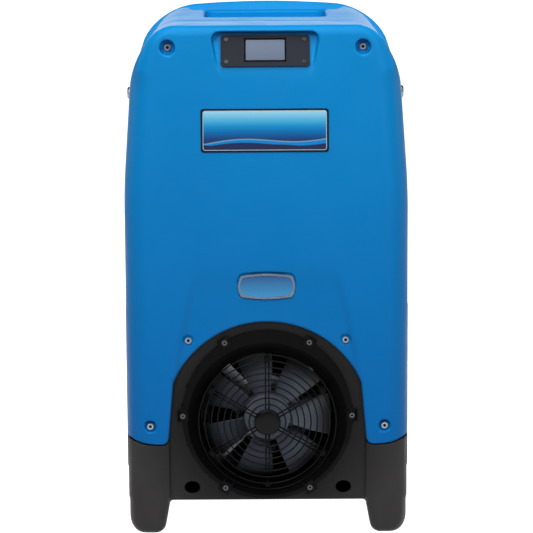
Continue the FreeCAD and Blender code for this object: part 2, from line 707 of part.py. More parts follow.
# ----------------------------------------------------------------- display
WINDOW = (-31.5, 31.5, -16.0, 18.5)
bezel = prism(front_view, plate_outline(-72, 72, -26.5, 26.5, 5.5), -4, 0)
bezel = bezel.cut(prism(front_view, plate_outline(-69.5, 69.5, -24, 24, 3.5), -5, -2.8))
bezel = bezel.cut(block(WINDOW[0], WINDOW[1], -6, 1, WINDOW[2], WINDOW[3]))
screw_spots = [(x, z) for x in (-63, 63) for z in (-18.5, 18.5)]
bezel = bezel.cut([rod_y(x, -6, 1, z, 1.6) for x, z in screw_spots])
save("display_bezel", display_frame(bezel))
save("display_lens", display_frame(block(WINDOW[0], WINDOW[1], -2.2, 0, WINDOW[2], WINDOW[3])))
save("display_board", display_frame(block(-58, 58, 0, 6, -19, 19)))
screws = []
for x, z in screw_spots:
    head = rod_y(x, -4.3, -2.8, z, 3.3).cut(rod_y(x, -5, -3.5, z, 1.4))
    screws.append(display_frame(fused([head, rod_y(x, -2.9, 7, z, 1.6)])))
save("display_screws", group(screws))

# --------------------------------------------------------------- base tray
chassis = prism(top_view, plate_outline(-158, 158, -100, 205, 10), 59, 61)
save("chassis_plate", chassis)

COMP_X = 70.0
COMP_Y = 45.0
can = rod_z(COMP_X, COMP_Y, 84, 262, 58)
can = can.makeFillet(30, [e for e in can.Edges if e.Closed])
feet = []
for k in range(3):
    a = math.radians(90 + 120 * k)
    feet.append((COMP_X + 68 * math.cos(a), COMP_Y + 68 * math.sin(a)))
plate = Part.Face(Part.makePolygon([V(x, y, 78) for x, y in feet + feet[:1]])).extrude(V(0, 0, 3))
parts = [can, plate, rod_z(COMP_X, COMP_Y, 78, 100, 40)]
parts += [rod_z(x, y, 78, 81, 14) for x, y in feet]
compressor = fused(parts).cut([rod_z(x, y, 70, 90, 4.0) for x, y in feet])
save("compressor", compressor)
save("compressor_grommets", group([rod_z(x, y, 61, 78, 12).cut(rod_z(x, y, 60, 80, 4.0)) for x, y in feet]))
bolts = [fused([rod_z(x, y, 61, 90, 4.0), rod_z(x, y, 81, 88, 8.0)]) for x, y in feet]
save("compressor_bolts", group(bolts))
cover = prism(front_view, plate_outline(COMP_X - 20, COMP_X + 20, 150, 200, 6), COMP_Y - 74, COMP_Y)
save("compressor_terminal_cover", cover.cut(rod_z(COMP_X, COMP_Y, 80, 270, 58)))

tank = rod_z(-14, COMP_Y, 115, 230, 22)
tank = tank.makeFillet(12, [e for e in tank.Edges if e.Closed])
strap = block(0, 16, COMP_Y - 6, COMP_Y + 6, 160, 180).cut(rod_z(COMP_X, COMP_Y, 80, 270, 58))
save("accumulator", fused([tank, strap]))

pump = prism(top_view, plate_outline(-150, -60, -10, 105, 10), 61, 131)
pump_motor = rod_z(-105, 40, 130, 175, 26)
save("condensate_pump", fused([pump, pump_motor, rod_z(-120, 90, 130, 140, 5)]))
hose_path = [V(-120, 90, 140), V(-120, 90, 320), V(-120, 209, 320), V(-120, 209, 363.1)]
save("pump_hose", tube(hose_path, 6.5, 16))

# -------------------------------------------------------------- coil stack
shelf = [prism(top_view, plate_outline(-160, 160, -30, 200, 6), 346, 349)]
for y0, y1, web_y in ((-28, -8, -28), (178, 198, 196)):
    shelf += pair(block(156, 158, y0, y1, 61, 347))
    shelf += pair(block(138, 158, web_y, web_y + 2, 61, 347))
save("coil_shelf", fused(shelf))

tray = block(-147, 147, 0, 194, 349, 375).cut(block(-144.5, 144.5, 2.5, 191.5, 351.5, 380))
save("drain_tray", tray)

frame = [block(-150, 150, -150, 197, 690, 692)]
for side in (-1, 1):
    frame.append(block(min(side * 148, side * 150), max(side * 148, side * 150), 0, 197, 349, 691))
    frame.append(block(min(side * 149, side * 188), max(side * 149, side * 188), 195, 197, 385, 680))
frame = fused(frame)
holes = []
for x, z in REAR_SCREWS:
    holes += pair(rod_y(x, 190, 200, z, 2.4))
U_BENDS = [500.0, 540.0, 580.0, 620.0]
COIL_ROWS = {"condenser_coil": (8.0, 50.0), "evaporator_coil": (72.0, 118.0)}
for low, high in COIL_ROWS.values():
    for side in (-1, 1):
        for z in U_BENDS:
            for end in (-12, 12):
                holes.append(rod_x(side * 149 - 4, side * 149 + 4, (low + high) / 2, z + end, 5.0))
save("coil_frame", frame.cut(holes).removeSplitter())

for name, (low, high) in COIL_ROWS.items():
    pack = block(-148, 148, low, high, 375, 680)
    gaps = []
    for k in range(23):
        x = -143 + 13 * k
        gaps.append(block(x - 4, x + 4, low - 1, low + 8, 380, 675))
        gaps.append(block(x - 4, x + 4, high - 8, high + 1, 380, 675))
    pack = pack.cut(gaps)
    middle = (low + high) / 2
    bends = []
    for z in U_BENDS:
        bend = Part.makeTorus(12, 5.0, V(152, middle, z), V(0, 1, 0))
        bends += pair(bend.common(block(152, 180, low, high, z - 30, z + 30)))
        bends += pair(rod_x(147, 152, middle, z - 12, 5.0))
        bends += pair(rod_x(147, 152, middle, z + 12, 5.0))
    save(name, pack.fuse(bends))

core = block(-148, 148, 127, 190, 375, 680)
core = core.cut([block(x - 5, x + 5, 120, 200, 385, 670) for x in range(-133, 134, 14)])
save("heat_exchanger", core)

# ------------------------------------------------------- refrigerant lines
suction = [V(-14, 45, 230), V(-14, 45, 322), V(-14, -45, 322), V(-14, -45, 420)]
suction += [V(185, -45, 420), V(185, 95, 420), V(150, 95, 420)]
save("suction_line", tube(suction, 8, 14))
discharge = [V(85, 45, 262), V(85, 45, 310), V(85, -65, 310), V(85, -65, 400)]
discharge += [V(-185, -65, 400), V(-185, 29, 400), V(-150, 29, 400)]
save("discharge_line", tube(discharge, 5, 12))
upper = tube([V(-150, 29, 660), V(-186, 29, 660), V(-186, 95, 660), V(-186, 95, 590)], 4, 12)
lower = tube([V(-186, 95, 510), V(-186, 95, 460), V(-150, 95, 460)], 4, 12)
save("liquid_line", group([upper, lower]))
drier = rod_z(-186, 95, 510, 590, 15)
save("filter_drier", drier.makeFillet(7, [e for e in drier.Edges if e.Closed]))

# -------------------------------------------------------------- controls
tub_box = block(-120, 120, -150, -10, 692, 780).cut(block(-118.5, 118.5, -148.5, -11.5, 693.5, 781))
posts = [rod_z(x, y, 693, 705, 4) for x in (-95, 45) for y in (-130, -30)]
save("electronics_box", fused([tub_box] + posts))
lid = block(-121.5, 121.5, -151.5, -8.5, 770, 781.5).cut(block(-120, 120, -150, -10, 760, 780))
save("electronics_lid", lid)
board = [block(-105, 55, -138, -22, 705, 706.6)]
board += [block(-80, -40, -110, -80, 706, 730), block(-20, 10, -120, -60, 706, 722)]
board += [rod_z(35, -50, 706, 740, 10), rod_z(-70, -45, 706, 735, 12)]
save("control_board", fused(board))

# -------------------------------------------------------------- air inlet
grille = block(-INLET_HALF, INLET_HALF, 197, 200, INLET_LOW, INLET_HIGH)
slots = []
for k in range(14):
    for x0 in (-150, -73, 4, 81):
        slots.append(block(x0, x0 + 69, 190, 210, 408 + 16.2 * k, 418 + 16.2 * k))
save("inlet_grille", grille.cut(slots))

frame = prism(front_view, plate_outline(-170, 170, 390, 650, 12), REAR_Y + 0.4, REAR_Y + 6)
frame = frame.fuse(prism(front_view, plate_outline(-160, 160, 400, 640, 3), 204, REAR_Y + 1))
frame = frame.cut(block(-150, 150, 200, REAR_Y - 2, 410, 630))
louvres = []
for k in range(11):
    z = 420 + 20.6 * k
    louvres.append(block(-146, -2, REAR_Y - 10, REAR_Y + 10, z - 6, z + 6))
    louvres.append(block(2, 146, REAR_Y - 10, REAR_Y + 10, z - 6, z + 6))
frame = frame.cut(louvres)
tab = prism(front_view, plate_outline(-22, 22, 634, 652, 5), REAR_Y + 5, REAR_Y + 13)
tab = tab.cut(block(-18, 18, REAR_Y + 6, REAR_Y + 10, 630, 649))
save("air_filter_frame", fused([frame, tab]))

pleats = [(206, -150)]
for k in range(30):
    pleats += [(218, -145 + 10 * k), (206, -140 + 10 * k)]
pleats[-1] = (206, 150)
back = [(y + 2, x) for y, x in reversed(pleats)]
edge = [V(x, y, 410) for y, x in pleats + back]
media = Part.Face(Part.makePolygon(edge + [edge[0]])).extrude(V(0, 0, 220))
save("filter_media", media)

# -------------------------------------------------------------- rear fittings
plate = prism(front_view, plate_outline(-60, 60, 706, 758, 6), REAR_Y, REAR_Y + 3)
plate = plate.cut([block(x - 9.4, x + 9.4, 210, 240, 725.6, 738.4) for x in (-35, 0, 35)])
save("keypad_plate", plate)
for name, x in (("key_power", 35), ("key_down", 0), ("key_up", -35)):
    key = prism(front_view, plate_outline(x - 9, x + 9, 726, 738, 3), 219.5, REAR_Y + 5.5)
    key = key.fuse(block(x - 10.5, x + 10.5, 219.5, 221, 724.5, 739.5))
    save(name, key.removeSplitter())

x, z = SPOTS[0]
gland = fused([rod_y(x, 206, REAR_Y, z, 8.9), rod_y(x, REAR_Y, 230, z, 15), rod_y(x, 230, 242, z, 12)])
gland = gland.cut(rod_y(x, 200, 250, z, 5.5))
hexagon = [(x + 14 * math.cos(k * math.pi / 3), z + 14 * math.sin(k * math.pi / 3)) for k in range(6)]
locknut = prism(front_view, hexagon, 211, 218).cut(rod_y(x, 200, 230, z, 8.95))
save("cord_gland", group([gland, locknut]))

x, z = SPOTS[1]
spigot = [rod_y(x, 199, REAR_Y, z, 8.9), rod_y(x, REAR_Y, 226, z, 15), rod_y(x, 226, 244, z, 6.35)]
spigot.append(Part.makeCone(6.35, 5.4, 3.0, V(x, 244, z), V(0, 1, 0)))
save("drain_spigot", fused(spigot).cut(rod_y(x, 205, 260, z, 4.2)))

hooks = []
for z, turn in ((520.0, -1), (640.0, 1)):
    base_plate = prism(front_view, plate_outline(184, 200, z - 12, z + 12, 4), REAR_Y, REAR_Y + 4)
    post = block(186, 198, REAR_Y + 3, REAR_Y + 32, z - 4, z + 4)
    if turn > 0:
        tip = block(186, 198, REAR_Y + 26, REAR_Y + 32, z - 4, z + 22)
    else:
        tip = block(186, 198, REAR_Y + 26, REAR_Y + 32, z - 22, z + 4)
    hooks += pair(fused([base_plate, post, tip, rod_y(192, 214, REAR_Y + 1, z, 2.5)]))
save("cord_hooks", group(hooks))

# ------------------------------------------------------------------ wheels
save("wheel_axle", rod_x(-236, 236, WHEEL_Y, WHEEL_R, AXLE_R))
cap = rod_x(234.4, 240, WHEEL_Y, WHEEL_R, 15)
cap = cap.makeFillet(3, [e for e in cap.Edges if abs(e.CenterOfMass.x - 240) < 0.01])
cap = cap.cut(rod_x(230, 236, WHEEL_Y, WHEEL_R, AXLE_R))
spacer = rod_x(172, 181.6, WHEEL_Y, WHEEL_R, 13).cut(rod_x(170, 190, WHEEL_Y, WHEEL_R, AXLE_R))
save("wheel_retainers", group(pair(cap) + pair(spacer)))

RIM_R = 92.0
tyre = rod_x(WHEEL_IN, WHEEL_OUT, WHEEL_Y, WHEEL_R, WHEEL_R)
tyre = tyre.makeFillet(12, [e for e in tyre.Edges if e.Closed])
tyre = tyre.cut(rod_x(WHEEL_IN - 1, WHEEL_OUT + 1, WHEEL_Y, WHEEL_R, RIM_R))
for x in (196.0, 208.0, 220.0):
    groove = rod_x(x - 1.5, x + 1.5, WHEEL_Y, WHEEL_R, 130)
    groove = groove.cut(rod_x(x - 2, x + 2, WHEEL_Y, WHEEL_R, WHEEL_R - 4))
    tyre = tyre.cut(groove)
rim = rod_x(186, 230, WHEEL_Y, WHEEL_R, RIM_R).cut(rod_x(180, 240, WHEEL_Y, WHEEL_R, RIM_R - 6))
web = rod_x(205, 211, WHEEL_Y, WHEEL_R, RIM_R - 3)
hub = rod_x(WHEEL_IN, WHEEL_OUT, WHEEL_Y, WHEEL_R, 22)
ribs = []
windows = []
for k in range(6):
    rib = block(198, 218, 18, RIM_R - 3, -3, 3)
    rib.rotate(V(0, 0, 0), V(1, 0, 0), 60 * k)
    rib.translate(V(0, WHEEL_Y, WHEEL_R))
    ribs.append(rib)
    a = math.radians(60 * k + 30)
    windows.append(rod_x(200, 220, WHEEL_Y + 58 * math.cos(a), WHEEL_R + 58 * math.sin(a), 15))
rim = fused([rim, web.cut(windows), hub] + ribs)
rim = rim.cut(rod_x(170, 240, WHEEL_Y, WHEEL_R, AXLE_R + 0.05))
save("tyre_right", tyre)
save("rim_right", rim)
save("tyre_left", mirrored(tyre))
save("rim_left", mirrored(rim))
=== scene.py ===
import math

import bpy
import numpy as np
import openvdb
from mathutils import Matrix, Vector


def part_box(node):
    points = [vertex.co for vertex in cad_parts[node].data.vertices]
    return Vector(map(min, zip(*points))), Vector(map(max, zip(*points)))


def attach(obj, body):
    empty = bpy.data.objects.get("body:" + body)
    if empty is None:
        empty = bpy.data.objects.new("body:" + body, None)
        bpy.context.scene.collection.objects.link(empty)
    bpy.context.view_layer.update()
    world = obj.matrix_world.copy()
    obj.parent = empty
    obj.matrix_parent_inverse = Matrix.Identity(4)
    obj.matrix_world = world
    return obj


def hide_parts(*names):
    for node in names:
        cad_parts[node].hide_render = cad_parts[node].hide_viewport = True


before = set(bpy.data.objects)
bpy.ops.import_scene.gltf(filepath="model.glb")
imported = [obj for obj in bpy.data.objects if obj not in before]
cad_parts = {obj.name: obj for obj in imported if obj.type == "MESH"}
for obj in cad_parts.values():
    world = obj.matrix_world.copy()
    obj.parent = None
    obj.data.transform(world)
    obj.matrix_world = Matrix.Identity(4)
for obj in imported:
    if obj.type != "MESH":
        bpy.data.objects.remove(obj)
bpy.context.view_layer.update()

# Driving sizes, in metres, as in the CAD model.
SHELL_LOW = 0.150
PLATEAU = 0.828
PLATEAU_RISE = 0.0534
FRONT_LOW_Y = -0.256
FRONT_TOP_Y = -0.200
REAR_Y = 0.222
BODY_HALF = 0.240
SIDE_DRAFT = 0.055
LEAN_Z = 0.560
SIDE_LEAN = 0.0714
PLATEAU_HALF = 0.177
SHOULDER = math.atan(1.70)
TUB_HALF = 0.242
SEAM_Y = -0.040
TUB_TOP = 0.345
REAR_SHELL_LOW = 0.347
BASE_FLOOR = 0.054
ARCH_Z = 0.181
ARCH_R = 0.168
COLLAR_Z = 0.196
FAN_Z = 0.181
GUARD_Y = -0.228
PIVOT_Y = 0.095
PIVOT_Z = 0.697
HANDLE_REST = math.radians(41)
HANDLE_SWEEP = math.radians(50)
WHEEL_Y = 0.129
WHEEL_R = 0.127
FRONT_SLOPE = (FRONT_TOP_Y - FRONT_LOW_Y) / (PLATEAU - SHELL_LOW)
SEAM_HALF_GAP = 0.00075
SHELL_WALL = 0.006
BASE_WALL = 0.005
COLLAR_SCREW_R = 0.138
BADGE_Z = 0.408
INLET_Z = 0.520
INLET_HALF_X = 0.1605
INLET_HALF_Z = 0.1205
DISPLAY_LOW = 0.755
DISPLAY_TILT = math.radians(20)
DISPLAY_RISE = 0.0315
ARM_SLANT = 0.2321
INSIDE_SLANT = 0.2987


# ------------------------------------------------------------ distance fields
def ramp(t):
    """Smooth step from 0 to 1 as t goes from 0 to 1."""
    t = np.clip(t, 0.0, 1.0)
    return t * t * (3.0 - 2.0 * t)


def both(a, b, r):
    """Inside a and inside b, with the meeting edge rounded to radius r."""
    p, q = a + r, b + r
    return np.minimum(np.maximum(p, q), 0.0) + np.hypot(np.maximum(p, 0.0), np.maximum(q, 0.0)) - r


def either(a, b, r):
    """Inside a or inside b, with the inner corner filled to radius r."""
    return -both(-a, -b, r)


def without(a, b, r):
    """Inside a and outside b, with the rim rounded to radius r."""
    return both(a, -b, r)


def half_width(y):
    """Half width of the housing at a depth; the sides draw in towards the front."""
    return BODY_HALF - SIDE_DRAFT * np.maximum(SEAM_Y - y, 0.0)


def front_y(z):
    return FRONT_LOW_Y + FRONT_SLOPE * np.maximum(z - SHELL_LOW, 0.0)


def depth(y, z):
    """Distance behind the sloping front face."""
    return (y - front_y(z)) / math.hypot(1.0, FRONT_SLOPE)


def body_field(x, y, z):
    side = abs(x) - half_width(y)
    leaning = side + SIDE_LEAN * (z - LEAN_Z)
    shoulder = (abs(x) - PLATEAU_HALF) * math.sin(SHOULDER) + (z - PLATEAU) * math.cos(SHOULDER)
    face = both(both(side, leaning, 0.0024), shoulder, 0.0120)
    top = PLATEAU + PLATEAU_RISE * np.maximum(y - SEAM_Y, 0.0)
    face = both(face, z - top, 0.0260)
    edge = 0.040 - 0.024 * ramp((z - 0.725) / 0.090)
    solid = both(face, -depth(y, z), edge)
    return both(solid, y - REAR_Y, 0.028)


CREASE_Z = [0.140, 0.262, 0.302, 0.345, 0.403, 0.450]
CREASE_X = [0.150, 0.146, 0.141, 0.133, 0.120, 0.108]
SCREW_SEATS = [(0.158, 0.793, 0.0120, 0.016), (0.128, 0.320, 0.0080, 0.008), (0.191, 0.180, 0.0090, 0.008)]


def arch_field(x, z):
    spring_z = ARCH_Z + 0.069
    spring_x = math.sqrt(ARCH_R ** 2 - 0.069 ** 2)
    lean = (0.162 - spring_x) / (spring_z - SHELL_LOW)
    head = np.hypot(x, z - ARCH_Z) - ARCH_R
    foot = (abs(x) - spring_x - (spring_z - z) * lean) / math.hypot(1.0, lean)
    return np.where(z > spring_z, head, foot)


def display_recess(x, y, z):
    """Room in front of the tilted display, wider at the top."""
    into, up = y - front_y(DISPLAY_LOW), z - DISPLAY_LOW
    floor = into * math.cos(DISPLAY_TILT) - up * math.sin(DISPLAY_TILT)
    side = (abs(x) - 0.0765 - up * 0.1984) / 1.02
    return both(both(side, z - 0.818, 0.016), floor, 0.004)


def badge_field(x, z, grow):
    w, h, bow = 0.046 + grow, 0.017 + grow, 0.0035
    top = abs(z - BADGE_Z) - h - bow * (1.0 - (x / w) ** 2)
    side = abs(x) - w + 0.005 * ((z - BADGE_Z) / h) ** 2
    return both(top, side, 0.004)


def front_solid(x, y, z):
    solid = body_field(x, y, z)
    into = depth(y, z)
    # The centre panel falls back between the two side pillars, which close in with height.
    crease_x = np.interp(z.ravel(), CREASE_Z, CREASE_X)
    crease_x = crease_x.reshape(z.shape).astype(np.float32)
    fall = 0.0050 * ramp((0.440 - z) / 0.130) - 0.0080 * ramp((z - 0.395) / 0.060)
    solid = without(solid, both(abs(x) - crease_x, into - fall, 0.008), 0.009)
    for sx, sz, r, deep in SCREW_SEATS:
        hole = np.hypot(abs(x) - sx, z - sz) - r
        solid = without(solid, both(hole, into - deep, 0.003), 0.003)
    solid = without(solid, display_recess(x, y, z), 0.0035)
    solid = without(solid, both(badge_field(x, z, 0.0022), into - 0.004, 0.001), 0.0022)
    solid = without(solid, both(arch_field(x, z), into - 0.016, 0.001), 0.0045)
    return solid


def skirt(x):
    """Height of the seam between the blue shell and the grey base."""
    outer = 0.015 * np.clip((abs(x) - 0.176) / 0.062, 0.0, 1.0) ** 2.2
    inner = 0.008 * np.clip((0.172 - abs(x)) / 0.012, 0.0, 1.0) ** 2
    return SHELL_LOW + 0.0005 + outer + inner


def front_shell_field(x, y, z):
    solid = front_solid(x, y, z)
    shell = np.maximum(solid, -(solid + SHELL_WALL))
    shell = without(shell, arch_field(x, z) + 0.0002, 0.0005)
    beyond = both(arch_field(x, z) - 0.005, 0.0118 - depth(y, z), 0.0005)
    shell = without(shell, beyond, 0.0005)
    shell = both(shell, y - SEAM_Y + SEAM_HALF_GAP, 0.0012)
    return both(shell, skirt(x) - z, 0.0015)


def handle_sweep(x, y, z):
    """Room cleared for the folding handle; negative inside the room."""
    dy, dz = y - PIVOT_Y, z - PIVOT_Z
    reach = np.hypot(dy, dz)
    angle = np.arctan2(dy, dz)
    over = np.clip(angle, HANDLE_REST, HANDLE_REST + HANDLE_SWEEP)
    v = reach * np.cos(angle - over)
    w = reach * abs(np.sin(angle - over))
    w = np.where(np.cos(angle - over) < 0, reach, w)
    ax = abs(x)
    side = (ax - 0.221 + INSIDE_SLANT * np.maximum(v - 0.016, 0.0)) * 0.958
    inner = both(side, v - 0.167, 0.048)
    room = both(-inner, w - 0.016, 0.004)
    room = both(room, -v, 0.002)
    hub = both(reach - 0.030, 0.221 - ax, 0.002)
    return np.minimum(room, hub)


def rear_solid(x, y, z):
    solid = body_field(x, y, z)
    solid = without(solid, handle_sweep(x, y, z), 0.004)
    pocket = both(both(abs(x) - 0.105, abs(y - 0.105) - 0.083, 0.016), 0.800 - z, 0.008)
    solid = without(solid, pocket, 0.006)
    saddle_floor = 0.838 - 0.0854 * (y - 0.150)
    saddle = both(both(abs(x) - 0.136 - 0.3 * (y - 0.190), 0.150 - y, 0.006), saddle_floor - z, 0.003)
    return without(solid, saddle, 0.003)


def rear_shell_field(x, y, z):
    solid = rear_solid(x, y, z)
    shell = np.maximum(solid, -(solid + SHELL_WALL))
    inlet = both(abs(x) - INLET_HALF_X, abs(z - INLET_Z) - INLET_HALF_Z, 0.002)
    tunnel = np.maximum(abs(x) - INLET_HALF_X, abs(z - INLET_Z) - INLET_HALF_Z) - 0.0045
    shell = np.minimum(shell, np.maximum(tunnel, abs(y - 0.2085) - 0.0115))
    shell = without(shell, np.maximum(inlet, 0.190 - y), 0.0015)
    keys = np.maximum(abs(x) - 0.048, abs(z - 0.732) - 0.010)
    shell = without(shell, np.maximum(keys, 0.190 - y), 0.0005)
    shell = both(shell, SEAM_Y + SEAM_HALF_GAP - y, 0.0012)
    return both(shell, REAR_SHELL_LOW - z, 0.0015)


def base_solid(x, y, z):
    ax = abs(x)
    side = ax - half_width(y) - TUB_HALF + BODY_HALF
    plan = both(side, FRONT_LOW_Y - y, 0.036)
    plan = both(plan, y - 0.0, 0.001)
    foot = both(side, -z, 0.026)
    inner = (0.160 + (BASE_FLOOR - z) * 0.185 - ax) / 1.017
    foot = both(foot, inner, 0.014)
    heel = both(foot, y + 0.130, 0.020)
    block = np.maximum(side, BASE_FLOOR - z)
    front = both(either(heel, block, 0.004), plan, 0.014)
    tub = both(ax - TUB_HALF, y - REAR_Y, 0.028)
    tub = both(both(tub, BASE_FLOOR - z, 0.012), SEAM_Y + SEAM_HALF_GAP - y, 0.002)
    solid = either(front, tub, 0.002)
    panel = both(ax - 0.160, y - (FRONT_LOW_Y + 0.012), 0.004)
    solid = without(solid, panel, 0.004)
    well = both(np.hypot(y - WHEEL_Y, z - WHEEL_R) - WHEEL_R - 0.008, 0.172 - ax, 0.004)
    return without(solid, well, 0.004)


def base_field(x, y, z):
    solid = base_solid(x, y, z)
    shell = np.maximum(solid, -(solid + BASE_WALL))
    low_part = skirt(x) - 0.0018 - z
    high_part = np.minimum(y - SEAM_Y - SEAM_HALF_GAP, TUB_TOP - z)
    shell = both(shell, -np.maximum(low_part, high_part), 0.0012)
    face = both(abs(x) - 0.214, z - 0.366, 0.030)
    board = np.maximum(face, abs(depth(y, z) - 0.0145) - 0.0025)
    board = np.maximum(board, 0.100 - z)
    shell = np.minimum(shell, board)
    hole = np.hypot(x, z - COLLAR_Z) - 0.137
    shell = without(shell, np.maximum(hole, abs(y + 0.240) - 0.020), 0.0005)
    socket = np.hypot(abs(x) - 0.124, (z - 0.076) * 1.22) - 0.012
    return without(shell, np.maximum(socket, abs(y + 0.242) - 0.012), 0.0030)


def handle_field(x, w, v):
    """The handle drawn upright: x across, w through its thickness, v up."""
    ax = abs(x)
    rise = np.maximum(v - 0.016, 0.0)
    crown = 0.1958 - 0.396 * ax ** 2
    outer = both((ax - 0.236 + ARM_SLANT * rise) * 0.974, v - crown, 0.071)
    inner = both((ax - 0.224 + INSIDE_SLANT * rise) * 0.958, v - 0.170, 0.050)
    flat = both(outer, -inner, 0.001)
    solid = both(flat, abs(w) - 0.013, 0.0055)
    return both(solid, -0.022 - v + 0.35 * np.maximum(abs(w) - 0.002, 0.0), 0.006)


# ------------------------------------------------------------------- meshing
STEP = 0.0023
FACE_LIMIT = 190000


def gradient(field, points, eps):
    out = np.empty_like(points)
    for k in range(3):
        shift = np.zeros(3)
        shift[k] = eps
        a = field(*(points + shift).T)
        b = field(*(points - shift).T)
        out[:, k] = (a - b) / (2 * eps)
    return out


def settle(field, points):
    """Pulls points that lie near the zero surface onto it."""
    for _ in range(2):
        value = field(*points.T)
        slope = gradient(field, points, 0.0002)
        size = np.maximum((slope ** 2).sum(1), 0.05)
        move = slope * (value / size)[:, None]
        length = np.maximum(np.linalg.norm(move, axis=1), 1e-9)
        points = points - move * np.minimum(1.0, 0.0012 / length)[:, None]
    return points


def make_mesh(name, points, faces):
    mesh = bpy.data.meshes.new(name)
    mesh.vertices.add(len(points))
    mesh.vertices.foreach_set("co", points.astype(np.float32).ravel())
    sizes = np.concatenate([np.full(len(f), f.shape[1]) for f in faces if len(f)])
    loops = np.concatenate([f.ravel() for f in faces if len(f)])
    mesh.loops.add(len(loops))
    mesh.loops.foreach_set("vertex_index", loops.astype(np.int32))
    mesh.polygons.add(len(sizes))
    starts = np.concatenate([[0], np.cumsum(sizes)[:-1]])
    mesh.polygons.foreach_set("loop_start", starts.astype(np.int32))
    mesh.update(calc_edges=True)
    mesh.validate()
    return mesh


def add_object(name, mesh, material):
    item = bpy.data.objects.new(name, mesh)
    bpy.context.scene.collection.objects.link(item)
    mesh.materials.clear()
    mesh.materials.append(material)
    return item


def skin(name, field, low, high, material, step=STEP, adaptivity=0.02):
    """Closed mesh of a distance field, with its normals taken from the field."""
    axes = [np.arange(low[k], high[k] + step, step, dtype=np.float32) for k in range(3)]
    values = field(axes[0][:, None, None], axes[1][None, :, None], axes[2][None, None, :])
    values = np.clip(values, -3 * step, 3 * step).astype(np.float32)
    values = np.array(np.broadcast_to(values, [len(a) for a in axes]), np.float32, order="C")
    grid = openvdb.FloatGrid(3 * step)
    grid.copyFromArray(values)
    points, triangles, quads = grid.convertToPolygons(isovalue=0.0, adaptivity=adaptivity)
    points = points.astype(np.float64) * step + np.array([a[0] for a in axes])
    points = settle(field, points)
    mesh = make_mesh(name, points, [triangles, quads])
    item = add_object(name, mesh, material)
    count = len(triangles) + 2 * len(quads)
    if count > FACE_LIMIT:
        thin = item.modifiers.new("thin", "DECIMATE")
        thin.ratio = FACE_LIMIT / count
        graph = bpy.context.evaluated_depsgraph_get()
        fresh = bpy.data.meshes.new_from_object(item.evaluated_get(graph))
        item.modifiers.clear()
        item.data = fresh
    mesh = item.data
    points = np.empty(len(mesh.vertices) * 3, np.float32)
    mesh.vertices.foreach_get("co", points)
    normals = gradient(field, points.reshape(-1, 3).astype(np.float64), 0.0004)
    normals /= np.maximum(np.linalg.norm(normals, axis=1), 1e-6)[:, None]
    mesh.shade_smooth()
    mesh.normals_split_custom_set_from_vertices(normals)
    print(name, "faces", count, "kept", len(mesh.polygons))
    return item


# ----------------------------------------------------------------- materials
def linear(red, green, blue):
    """Linear colour from display values of 0 to 255."""
    out = []
    for value in (red, green, blue):
        c = value / 255.0
        out.append(c / 12.92 if c <= 0.04045 else ((c + 0.055) / 1.055) ** 2.4)
    return (*out, 1.0)


def new_material(name):
    material = bpy.data.materials.new(name)
    material.use_nodes = True
    tree = material.node_tree
    return material, tree, tree.nodes["Principled BSDF"]


def node(tree, kind, **inputs):
    made = tree.nodes.new(kind)
    for key, value in inputs.items():
        made.inputs[key.replace("_", " ")].default_value = value
    return made


def object_place(tree):
    return tree.nodes.new("ShaderNodeTexCoord").outputs["Object"]


def noise(tree, scale, detail=3.0, rough=0.55):
    made = node(tree, "ShaderNodeTexNoise", Scale=scale, Detail=detail, Roughness=rough)
    tree.links.new(object_place(tree), made.inputs["Vector"])
    return made.outputs["Fac"]


def mapped(tree, value, low, high, to_low, to_high):
    made = tree.nodes.new("ShaderNodeMapRange")
    for key, number in zip(("From Min", "From Max", "To Min", "To Max"), (low, high, to_low, to_high)):
        made.inputs[key].default_value = number
    tree.links.new(value, made.inputs["Value"])
    return made.outputs["Result"]


def blend_colour(tree, factor, first, second):
    mix = tree.nodes.new("ShaderNodeMix")
    mix.data_type = "RGBA"
    tree.links.new(factor, mix.inputs[0])
    for socket, colour in ((6, first), (7, second)):
        if isinstance(colour, tuple):
            mix.inputs[socket].default_value = colour
        else:
            tree.links.new(colour, mix.inputs[socket])
    return mix.outputs[2]


def bumps(tree, shader, layers):
    """Chains bump layers of (height socket, distance, strength) into the normal."""
    last = None
    for height, distance, strength in layers:
        bump = node(tree, "ShaderNodeBump", Strength=strength, Distance=distance)
        tree.links.new(height, bump.inputs["Height"])
        if last is not None:
            tree.links.new(last, bump.inputs["Normal"])
        last = bump.outputs["Normal"]
    tree.links.new(last, shader.inputs["Normal"])


def axis_painted_shading(centre_z, near, far):
    """Falls from 1 to 0 with distance from an axis along Y at that height; used as a mask for painted
    shading.
    """
    def build(tree):
        centre = node(tree, "ShaderNodeCombineXYZ", Z=centre_z)
        flat = tree.nodes.new("ShaderNodeVectorMath")
        flat.operation = "MULTIPLY"
        tree.links.new(object_place(tree), flat.inputs[0])
        flat.inputs[1].default_value = (1.0, 0.0, 1.0)
        apart = tree.nodes.new("ShaderNodeVectorMath")
        apart.operation = "DISTANCE"
        tree.links.new(flat.outputs["Vector"], apart.inputs[0])
        tree.links.new(centre.outputs["Vector"], apart.inputs[1])
        return mapped(tree, apart.outputs["Value"], near, far, 1.0, 0.0)
    return build


def height_painted_shade(z_low, z_high):
    """Falls from 1 to 0 with height; used as a mask for painted shade low down."""
    def build(tree):
        split = tree.nodes.new("ShaderNodeSeparateXYZ")
        tree.links.new(object_place(tree), split.inputs[0])
        return mapped(tree, split.outputs["Z"], z_low, z_high, 1.0, 0.0)
    return build


